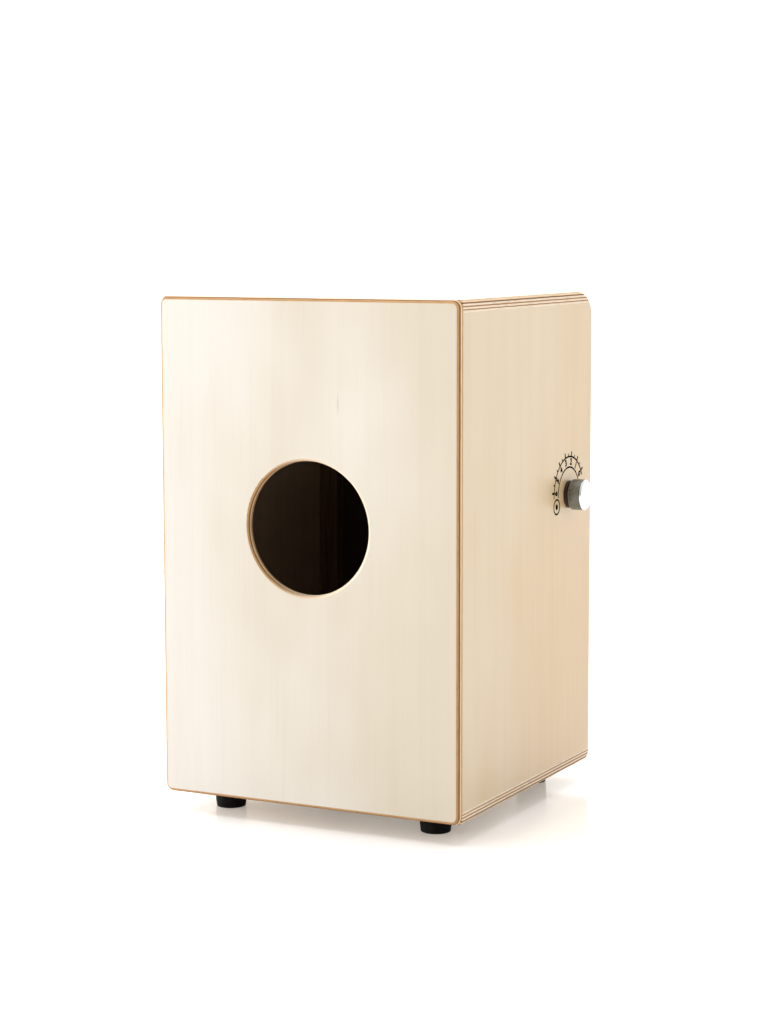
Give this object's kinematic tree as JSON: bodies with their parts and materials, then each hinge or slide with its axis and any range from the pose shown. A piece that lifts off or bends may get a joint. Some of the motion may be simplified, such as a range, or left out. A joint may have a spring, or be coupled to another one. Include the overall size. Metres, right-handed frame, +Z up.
{
  "type": "cajon",
  "caption": "Plywood box drum to sit on: thin front striking panel, round rear sound hole, side knob that turns an inner snare bar on and off the tapa, rubber feet.",
  "frame": {"origin": "middle of the four feet, on the floor they stand on", "axes": "+Z up; the striking panel faces -Y and the sound hole +Y; +X is the player's left, so the knob is on -X"},
  "size_m": [0.318, 0.3, 0.475],
  "materials": {
    "birch_ply": "clear matt lacquer over birch plywood, bare ply edges",
    "tapa_ply": "clear matt lacquer over thin birch plywood",
    "rail_wood": "bare planed softwood",
    "beech": "planed beech",
    "foot_rubber": "moulded, satin black",
    "knob_chrome": "turned and chromed, polished end face",
    "black_nylon": "turned black nylon",
    "felt": "dark felt",
    "zinc_steel": "zinc plated",
    "shaft_steel": "bright drawn",
    "strainer_brass": "sheet, soldered to the strands",
    "black_steel": "black oxide",
    "cast_aluminium": "as cast, tumbled"
  },
  "bodies": {
    "box": {"bearing_block": "beech", "bearing_block_screws": "zinc_steel", "bottom_panel": "birch_ply", "bushing_nut": "zinc_steel", "bushing_washer": "zinc_steel", "foot_front_left": "foot_rubber", "foot_front_right": "foot_rubber", "foot_rear_left": "foot_rubber", "foot_rear_right": "foot_rubber", "foot_screws": "zinc_steel", "foot_washers": "zinc_steel", "front_batten_left": "rail_wood", "front_batten_right": "rail_wood", "front_rail_bottom": "rail_wood", "front_rail_top": "rail_wood", "knob_bushing": "black_nylon", "knob_felt_washer": "felt", "rear_panel": "birch_ply", "side_panel_left": "birch_ply", "side_panel_right": "birch_ply", "stop_pin": "zinc_steel", "tapa": "tapa_ply", "tapa_screws": "black_steel", "top_panel": "birch_ply"},
    "snare": {"snare_knob": "knob_chrome", "knob_grub_screw": "black_steel", "snare_shaft": "shaft_steel", "stop_collar": "zinc_steel", "stop_collar_grub_screw": "black_steel", "snare_arm_left": "cast_aluminium", "snare_arm_right": "cast_aluminium", "arm_grub_screws": "black_steel", "arm_screws": "zinc_steel", "snare_bar": "beech", "strainer_plate_left": "strainer_brass", "strainer_plate_right": "strainer_brass", "strainer_screws": "zinc_steel", "snare_wires_left": "shaft_steel", "snare_wires_right": "shaft_steel"}
  },
  "joints": [
    {"name": "snare_turn", "type": "hinge", "parent": "box", "child": "snare", "pos_m": [0, -0.093, 0.285], "axis": [-1, 0, 0], "range_deg": [0, 35]}
  ]
}
